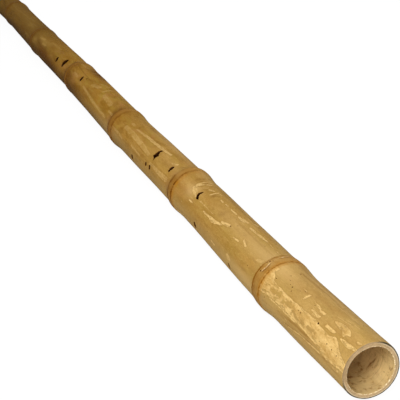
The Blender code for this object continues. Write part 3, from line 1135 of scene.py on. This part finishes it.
# Layers of tone: stretch of the noise along and across the cane with a shift, its detail, roughness and
# distortion, its ramp, and the tone
BROAD_TONES = (
    ((6, 38, 11.0), (3, 0.6), (0.46, 0.7, 0.0, 0.6), (178, 146, 66)),
    ((12, 60, 17.0), (4, 0.65), (0.52, 0.72, 0.0, 0.6), (184, 132, 58)),
)
FINE_TONES = (
    ((22, 800, 27.0), (2, 0.5), (0.64, 0.72, 0.0, 0.5), (222, 184, 116)),
    ((55, 170, 51.0), (4, 0.7, 0.6), (0.42, 0.62, 0.0, 0.42), (170, 128, 56)),
)
FLECK_TONES = (
    ((130, 330, 101.0), (4, 0.8, 0.5), (0.53, 0.64), (150, 112, 50)),
)
AGED_TONES = (
    ((26, 85, 61.0), (4, 0.65, 0.5), (0.44, 0.64, 0.0, 0.55), (138, 95, 22)),
    ((22, 70, 67.0), (3, 0.6, 0.5), (0.5, 0.66, 0.0, 0.5), (178, 144, 58)),
    ((18, 60, 71.0), (3, 0.6, 0.5), (0.54, 0.68, 0.0, 0.4), (186, 130, 76)),
)
SCRAPE_SPECKS = (((320, 700, 41.0), (3, 0.7), (0.46, 0.66, 0.0, 0.45), (196, 150, 80)),)
RING_HOOPS = (((620, 24, 37.0), (2, 0.6, 0.4), (0.5, 0.66, 0.0, 0.45), (146, 98, 36)),)
BORE_STREAKS = (((40, 330, 4.0), (3, 0.6, 0.5), (0.5, 0.75, 0.0, 0.25), (140, 104, 56)),)
BORE_SPECKS = (((240, 240, 9.0), (3, 0.7), (0.55, 0.66, 0.0, 0.6), (132, 90, 34)),)
BORE_DARK_ARCS = (((300, 45, 35.0), (3, 0.65, 1.4), (0.52, 0.64, 0.0, 0.28), (150, 108, 54)),)


def edge_shade_mask(tree):
    """Painted shade low down and on the far side of a sawn end's outer edge, and the distance from the end.
    """
    x, y, z = tree.axes()
    low = tree.ramp(z, 0.026, 0.014)
    aside = tree.ramp(y, 0.004, 0.015)
    patchy = tree.noise((90, 90, 31.0), 3, 0.6)
    shaded_edge = tree.times(tree.most(low, aside), tree.ramp(patchy, 0.25, 0.6, 0.7, 1.0))
    from_end = tree.minus(LENGTH / 2, tree.math("ABSOLUTE", x))
    return shaded_edge, from_end


def skin_colour(tree, station):
    """Clean skin: broad lengthwise clouds, then streaks and fine fibre, browner towards the far end, partly
    weathering and partly painted shade where the light falls off.
    """
    clouds = tree.noise((9, 55), 4, 0.6, 0.4)
    streaks = tree.noise((14, 260, 3.0), 3, 0.6)
    fibre = tree.noise((40, 1500, 7.0), 2, 0.6)
    grain = tree.noise((420, 900, 77.0), 3, 0.75)
    patchy = tree.noise((7, 40, 23.0), 4, 0.65)
    uneven = tree.ramp(patchy, 0.25, 0.7, 0.75, 1.2)
    colour = tree.mix(tree.ramp(clouds, 0.32, 0.68), (184, 143, 69), (208, 167, 92))
    colour = tree.layers(colour, BROAD_TONES)
    colour = tree.tint(colour, tree.ramp(streaks, 0.52, 0.74, 0.0, 0.5), (160, 116, 48))
    colour = tree.tint(colour, tree.ramp(fibre, 0.35, 0.75, 0.0, 0.22), (150, 106, 44))
    colour = tree.layers(colour, FINE_TONES)
    colour = tree.tint(colour, tree.ramp(grain, 0.46, 0.66, 0.0, 0.3), (150, 106, 46))
    colour = tree.tint(colour, tree.ramp(grain, 0.46, 0.34, 0.0, 0.25), (226, 190, 124))
    colour = tree.layers(colour, FLECK_TONES, tree.ramp(station, 0.3, 1.0, 0.5, 0.15))
    colour = tree.tint(colour, tree.ramp(station, 0.05, 0.26, 0.3, 0.0), (206, 174, 114))

    # Amber and brown towards the far end, partly weathering and partly painted shade where the light falls
    # off
    # Less of it on the back, painted light where the lamps reach less
    _, y, _ = tree.axes()
    back = tree.ramp(y, 0.015, 0.023)
    amber = tree.times(tree.ramp(station, 0.2, 0.8, 0.0, 0.62, smooth=False), uneven, clamp=True)
    amber = tree.times(amber, tree.without(tree.times(back, 0.5)))
    colour = tree.tint(colour, amber, (168, 118, 28))
    colour = tree.layers(colour, AGED_TONES, tree.ramp(station, 0.15, 0.7, 0.25, 1.0))
    brown = tree.times(tree.ramp(station, 0.85, 1.3, 0.0, 0.9), uneven, clamp=True)
    # Less brown again past about 1.56 m: painted light, as for the back
    lifted_back_and_end = tree.most(tree.times(back, 0.7), tree.ramp(station, 1.56, 1.86, 0.0, 0.6))
    brown = tree.times(brown, tree.without(lifted_back_and_end))
    colour = tree.tint(colour, brown, (119, 85, 28))

    # Light and dark drifts on the weathered part
    drifts = tree.noise((6, 75, 91.0), 4, 0.7, 0.8)
    weathered = tree.ramp(station, 0.5, 1.0, 0.1, 1.0)
    farther = tree.ramp(station, 0.7, 1.3)
    light_drifts = tree.times(tree.ramp(drifts, 0.54, 0.66, 0.0, 0.4), weathered)
    dark_drifts = tree.times(tree.ramp(drifts, 0.46, 0.34, 0.0, 0.5), weathered)
    colour = tree.tint(colour, light_drifts, tree.mix(farther, (204, 166, 92), (156, 122, 58)))
    colour = tree.tint(colour, dark_drifts, tree.mix(farther, (136, 92, 26), (86, 58, 18)))
    return colour, patchy, streaks, fibre


def marked_colour(tree, station, colour, patchy):
    """Adds stains, lighter places, the side in shade, painted shade along the outline and thin brown lines.
    """
    stain = tree.marked("stain", patchy, 0.3, 0.65, 0.6, 1.3)
    colour = tree.tint(colour, stain, (116, 74, 22))
    lighter = tree.marked("lighter", patchy, 0.3, 0.65, 0.7, 1.2)
    light = tree.mix(tree.ramp(station, 0.3, 1.2), (228, 190, 126), (178, 140, 68))
    colour = tree.tint(colour, lighter, light)
    side = tree.marked("shade_side", patchy, 0.3, 0.65, 0.5, 1.0)
    shaded = tree.mix(tree.ramp(station, 0.35, 1.0), (196, 162, 100), (74, 44, 2))
    colour = tree.tint(colour, tree.times(side, 0.8), shaded)
    # Painted shade: dark strips along both sides of the outline, broken up by a noise and darker towards the
    # far end
    broken = tree.noise((16, 90, 83.0), 4, 0.7)
    outline_shade = tree.marked("outline_shade", broken, 0.4, 0.62, 0.35, 1.0)
    grey = tree.mix(tree.ramp(station, 0.1, 0.8), (128, 112, 66), (64, 48, 10))
    colour = tree.tint(colour, tree.times(outline_shade, 0.75), grey)
    thin = tree.noise((60, 300, 19.0), 3, 0.65)
    line = tree.marked("line", thin, 0.3, 0.6, 0.3, 1.1)
    return tree.tint(colour, tree.times(line, 0.75), (146, 102, 42))


def scraped_colour(tree, station, colour):
    """Adds the scraped places: the stored depth with a ragged edge, and skin left in patches inside."""
    ragged = tree.noise((75, 260, 5.0), 3, 0.65, 0.3)
    fine = tree.noise((260, 900, 6.0), 3, 0.65)
    edge = tree.plus(tree.swing(ragged, 2.0), tree.swing(fine, 1.4))
    depth = tree.plus(tree.attribute("scrape"), edge)
    old = tree.ramp(station, 0.45, 0.75)
    worn_edge = tree.times(tree.ramp(depth, -1.1, 1.3), old)
    crisp_edge = tree.times(tree.ramp(depth, -0.20, 0.30), tree.without(old))
    pale = tree.times(tree.plus(worn_edge, crisp_edge), tree.attribute("pale"), clamp=True)
    mottle = tree.noise((90, 260, 9.0), 4, 0.75, 1.2)
    left = tree.times(tree.ramp(mottle, 0.54, 0.60, 0.0, 0.8), tree.ramp(depth, 3.4, 0.8, 0.3, 1.0))
    pale = tree.times(pale, tree.without(left), clamp=True)
    stands = tree.plus(tree.attribute("standing"), tree.swing(mottle, 9.0))
    pale = tree.times(pale, tree.without(tree.ramp(stands, -0.2, 0.9, 0.0, 0.85)), clamp=True)
    tone = tree.noise((50, 160, 14.0), 4, 0.7)
    worn = tree.times(tree.ramp(tone, 0.34, 0.62), tree.ramp(depth, 0.5, 2.6, 0.1, 1.0))
    fresh = tree.mix(worn, (236, 198, 128), (208, 168, 98))
    nets = tree.noise((110, 230, 47.0), 3, 0.6, 1.6)
    threads = tree.times(tree.near(nets, 0.5, 0.04), tree.ramp(tone, 0.46, 0.58, 0.0, 0.85))
    fresh = tree.tint(fresh, threads, (176, 132, 68))
    fresh = tree.layers(fresh, SCRAPE_SPECKS)
    faded = tree.tint(fresh, tree.ramp(station, 0.3, 1.3, 0.0, 0.8, smooth=False), (172, 130, 50))
    colour = tree.tint(colour, pale, faded)
    # A faint dark line just outside each scraped edge: painted shade of the step at the skin's edge
    rim = tree.times(tree.near(depth, -0.5, 0.45), tree.attribute("pale"), clamp=True)
    return tree.tint(colour, tree.times(rim, 0.28), (150, 106, 44)), pale


def ring_colour(tree, station, colour):
    """Adds the rings: a band between the grooves, brown lines in them, an orange strip, and the crack."""
    smear = tree.noise((60, 110, 13.0), 3, 0.6)
    fuzz = tree.noise((240, 400, 33.0), 3, 0.65)
    shaky = tree.swing(fuzz, 2.8)
    near = tree.plus(tree.attribute("near_groove"), shaky)
    far = tree.plus(tree.attribute("far_groove"), shaky)
    between = tree.times(tree.ramp(near, -0.8, 1.4), tree.ramp(far, -1.4, 0.9, 1.0, 0.0))
    band_tone = tree.attribute("band_tone")
    band = tree.mix(band_tone, (196, 148, 76), (130, 82, 10))
    band = tree.tint(band, tree.ramp(fuzz, 0.4, 0.65, 0.0, 0.3), (164, 112, 44))
    band = tree.layers(band, RING_HOOPS)
    band = tree.tint(band, tree.ramp(station, 0.8, 1.2, 0.0, 0.7), (116, 78, 20))
    banded = tree.times(between, tree.ramp(smear, 0.32, 0.6, 0.5, 1.0))
    banded = tree.times(banded, tree.ramp(band_tone, 0.0, 0.15))
    colour = tree.tint(colour, banded, band)
    near_tone = tree.attribute("near_tone")
    strip = tree.times(tree.near(near, -0.9, 3.4), tree.ramp(smear, 0.3, 0.6, 0.35, 0.95))
    strip = tree.times(strip, near_tone)
    orange = tree.mix(tree.ramp(station, 0.2, 1.2), (184, 122, 34), (108, 72, 14))
    colour = tree.tint(colour, strip, orange)
    near_line = tree.times(tree.near(near, 0.1, 1.2), near_tone)
    far_line = tree.times(tree.near(far, 0.0, 1.7), tree.attribute("far_tone"))
    lines = tree.most(near_line, far_line)
    lines = tree.times(lines, tree.ramp(smear, 0.32, 0.55, 0.55, 1.3), clamp=True)
    colour = tree.tint(colour, lines, tree.mix(tree.ramp(station, 0.1, 0.6), (140, 90, 18), (104, 54, 0)))
    crack = tree.attribute("crack")
    opened = tree.attribute("crack_tone")
    dark = tree.times(tree.near(crack, 0.0, 1.0), tree.ramp(fuzz, 0.35, 0.55, 0.35, 0.9))
    colour = tree.tint(colour, tree.times(dark, opened), (110, 72, 30))
    bright = tree.times(tree.near(crack, 1.2, 0.9), tree.ramp(fuzz, 0.45, 0.55, 0.2, 0.95))
    return tree.tint(colour, tree.times(bright, opened), (240, 214, 166))


def skin_material():
    tree = Tree("bamboo_skin")
    x, _, _ = tree.axes()
    station = tree.minus(LENGTH / 2, x)
    colour, patchy, streaks, fibre = skin_colour(tree, station)
    colour = marked_colour(tree, station, colour, patchy)
    colour, pale = scraped_colour(tree, station, colour)
    colour = ring_colour(tree, station, colour)

    # Dark specks, and painted shade on the sawn edge, low down and on the far side
    chosen = tree.noise((25, 45, 29.0), 2, 0.5)
    specks = tree.ramp(tree.cells((120, 160, 2.0)), 0.05, 0.11, 1.0, 0.0)
    specks = tree.times(specks, tree.ramp(chosen, 0.46, 0.6))
    colour = tree.tint(colour, tree.times(specks, 0.75), (106, 70, 32))
    shaded_edge, from_end = edge_shade_mask(tree)
    rim_shade = tree.times(shaded_edge, tree.ramp(from_end, 0.0005, 0.0016, 0.8, 0.0))
    colour = tree.tint(colour, rim_shade, (84, 76, 52))

    roughness = tree.plus(tree.ramp(fibre, 0.3, 0.7, 0.46, 0.58), tree.times(pale, 0.12))
    normal = tree.bump(fibre, 0.00012, 0.6)
    normal = tree.bump(tree.without(pale), 0.00018, 0.9, normal)
    normal = tree.bump(streaks, 0.0003, 0.5, normal)
    return tree.finish(colour, roughness, normal, 0.01)


def sawn_material():
    tree = Tree("bamboo_sawn_end")
    below = tree.attribute("below")
    wobble = tree.noise((100, 260), 3, 0.6)
    depth = tree.plus(below, tree.swing(wobble, 0.5))
    dots = tree.ramp(tree.cells((300, 1500)), 0.15, 0.42, 1.0, 0.0)
    grain = tree.noise((500, 900, 4.0), 4, 0.7)
    broad = tree.noise((50, 90, 8.0), 3, 0.6)
    colour = tree.mix(tree.ramp(broad, 0.3, 0.7), (178, 151, 111), (206, 175, 131))
    colour = tree.tint(colour, tree.ramp(grain, 0.35, 0.7, 0.0, 0.35), (150, 124, 90))
    colour = tree.tint(colour, tree.times(dots, 0.35), (134, 106, 72))
    colour = tree.tint(colour, tree.times(tree.near(depth, 0.95, 0.45), 0.6), (122, 98, 66))
    colour = tree.tint(colour, tree.times(tree.near(depth, 2.3, 0.5), 0.3), (150, 120, 84))
    chips = tree.noise((300, 420, 21.0), 3, 0.6)
    colour = tree.tint(colour, tree.ramp(depth, 3.2, 4.0, 0.0, 0.6), (206, 176, 128))
    bright = tree.times(tree.ramp(depth, 3.6, 4.0), tree.ramp(chips, 0.47, 0.56))
    colour = tree.tint(colour, bright, (246, 226, 184))
    _, y, _ = tree.axes()
    colour = tree.tint(colour, tree.ramp(y, -0.008, -0.024, 0.0, 0.3), (136, 108, 74))
    shaded_edge, _ = edge_shade_mask(tree)
    cream = tree.times(shaded_edge, tree.near(depth, 1.5, 0.9))
    colour = tree.tint(colour, tree.times(cream, 0.5), (222, 206, 174))
    colour = tree.tint(colour, tree.times(tree.ramp(depth, 0.2, 0.6, 0.75, 0.0), 0.8), (128, 106, 72))
    # Painted shade: a dark band at the outer edge, low down and on the far side
    reach = tree.ramp(depth, 0.75, 1.3, 1.0, 0.0)
    colour = tree.tint(colour, tree.times(shaded_edge, reach), (58, 56, 44))
    normal = tree.bump(grain, 0.0002, 0.8)
    normal = tree.bump(dots, 0.0001, 0.6, normal)
    return tree.finish(colour, 0.82, normal, 0.1)


def bore_material():
    tree = Tree("bamboo_bore")
    broad = tree.noise((45, 70), 4, 0.6, 0.8)
    arcs = tree.noise((520, 40, 15.0), 3, 0.6, 1.0)
    x, y, z = tree.axes()
    inwards = tree.minus(LENGTH / 2, tree.math("ABSOLUTE", x))
    colour = tree.mix(tree.ramp(broad, 0.3, 0.7), (200, 166, 98), (228, 198, 134))
    # Browner deeper into the bore, partly dust and partly painted shade
    deep = tree.plus(inwards, tree.swing(broad, 0.05))
    colour = tree.tint(colour, tree.ramp(deep, 0.010, 0.036, 0.0, 0.75), (168, 114, 26))
    # Greyer towards the bottom; lighter towards the +Y side and the -Y side, painted light
    colour = tree.tint(colour, tree.ramp(z, 0.018, 0.007, 0.0, 0.5), (188, 164, 122))
    colour = tree.tint(colour, tree.ramp(y, 0.010, 0.022, 0.0, 0.4), (242, 212, 158))
    colour = tree.tint(colour, tree.ramp(y, -0.006, -0.018, 0.0, 0.35), (244, 210, 150))
    colour = tree.layers(colour, BORE_STREAKS)
    colour = tree.tint(colour, tree.ramp(arcs, 0.48, 0.7, 0.0, 0.3), (228, 200, 134))
    colour = tree.layers(colour, BORE_SPECKS)
    broken = tree.noise((420, 300, 25.0), 3, 0.7)
    line = tree.marked("line", broken, 0.36, 0.56, 0.15, 1.0)
    colour = tree.tint(colour, line, (118, 70, 18))
    colour = tree.layers(colour, BORE_DARK_ARCS)
    normal = tree.bump(broad, 0.0006, 0.6)
    normal = tree.bump(arcs, 0.0002, 0.5, normal)
    return tree.finish(colour, 0.75, normal, 0.1)


def inside_material():
    """Walls of the slits, the pinholes and the hollows behind them: brown at the skin, darker with depth,
    the dark being painted shade of the recesses.
    """
    tree = Tree("bamboo_inside")
    streaks = tree.noise((60, 500), 4, 0.65)
    colour = tree.mix(tree.ramp(streaks, 0.3, 0.7), (40, 16, 1), (58, 28, 4))
    shallow = tree.ramp(tree.attribute("below"), 1.6, 0.1, 0.0, 0.8)
    colour = tree.tint(colour, shallow, (112, 70, 26))
    normal = tree.bump(streaks, 0.0003, 0.8)
    return tree.finish(colour, 0.85, normal, 0.05)


culm_mesh = cut_culm()
for material in (skin_material(), sawn_material(), bore_material(), inside_material()):
    culm_mesh.materials.append(material)
finish_mesh(culm_mesh)
culm_mesh.shade_smooth()
culm_mesh.set_sharp_from_angle(angle=SHARP_ANGLE)
culm = new_object("bamboo_culm", culm_mesh, bpy.context.scene.collection)
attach(culm, "root")
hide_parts("bamboo_cane")

# Floor, light and camera
WHITE = (1, 1, 1, 1)
FLOOR_CORNERS = ((-12, -12, 0), (12, -12, 0), (12, 12, 0), (-12, 12, 0))
CAMERA_LENS = 91.67
CAMERA_PLACE = (1.5918, -0.3485, 0.4339)
CAMERA_DOWN = 21.486
CAMERA_TURN = 70.214


def floor_material():
    """Plain white to the camera apart from a faint shadow, and mid grey to the light that bounces off it."""
    tree = Tree("pale_floor")
    speckle = tree.noise((3, 3), 3, 0.5)
    colour = tree.mix(speckle, (0.64, 0.64, 0.64, 1), (0.66, 0.66, 0.66, 1))
    tree.finish(colour, 0.9, tree.bump(speckle, 0.0001, 0.1), 0.0)
    glow = tree.add("Emission", Color=WHITE, Strength=1.1)
    seen = tree.add("LightPath").outputs["Is Camera Ray"]
    blend = tree.add("MixShader")
    tree.put(blend.inputs[0], tree.times(seen, 0.86))
    tree.put(blend.inputs[1], tree.shader.outputs[0])
    tree.put(blend.inputs[2], glow.outputs[0])
    tree.put(tree.nodes["Material Output"].inputs["Surface"], blend.outputs[0])
    return tree.material


def lamp(name, place, target, size, power, colour):
    light = bpy.data.lights.new(name, "AREA")
    light.shape = "SQUARE"
    light.size = size
    light.energy = power
    light.color = colour
    made = new_object(name, light, bpy.context.scene.collection)
    made.location = place
    heading = np.array(target, float) - np.array(place, float)
    made.rotation_euler = Vector(heading).to_track_quat("-Z", "Y").to_euler()
    made.visible_camera = False


floor_mesh = bpy.data.meshes.new("floor")
floor_mesh.from_pydata(FLOOR_CORNERS, [], [(0, 1, 2, 3)])
floor_mesh.materials.append(floor_material())
floor = new_object("floor", floor_mesh, bpy.context.scene.collection)

lamp("key", (2.0, -1.0, 1.5), (0.7, 0.0, 0.0), 0.9, 27, (1.0, 0.99, 0.97))
lamp("front", (2.5, -0.62, 0.75), (1.0, 0.0, 0.03), 0.5, 11, (1.0, 0.98, 0.95))
lamp("overhead", (-0.2, -0.5, 2.6), (-0.2, 0.0, 0.0), 2.0, 9, (1.0, 1.0, 1.0))
lamp("behind", (-1.4, 2.3, 0.5), (-0.2, 0.0, 0.0), 1.6, 20, (1.0, 0.99, 0.97))

world = bpy.data.worlds.new("studio")
world.use_nodes = True
air = world.node_tree
air.nodes["Background"].inputs["Color"].default_value = WHITE
air.nodes["Background"].inputs["Strength"].default_value = 0.34
backdrop = air.nodes.new("ShaderNodeBackground")
backdrop.inputs["Color"].default_value = WHITE
backdrop.inputs["Strength"].default_value = 1.0
seen = air.nodes.new("ShaderNodeLightPath").outputs["Is Camera Ray"]
blend = air.nodes.new("ShaderNodeMixShader")
air.links.new(seen, blend.inputs[0])
air.links.new(air.nodes["Background"].outputs[0], blend.inputs[1])
air.links.new(backdrop.outputs[0], blend.inputs[2])
air.links.new(blend.outputs[0], air.nodes["World Output"].inputs["Surface"])
bpy.context.scene.world = world
bpy.context.scene.view_settings.view_transform = "Standard"

camera_data = bpy.data.cameras.new("camera")
camera_data.lens = CAMERA_LENS
camera_data.sensor_width = 36.0
camera_data.clip_end = 50.0
camera = new_object("camera", camera_data, bpy.context.scene.collection)
camera.location = CAMERA_PLACE
camera.rotation_euler = (math.radians(90 - CAMERA_DOWN), 0.0, math.radians(CAMERA_TURN))
bpy.context.scene.camera = camera
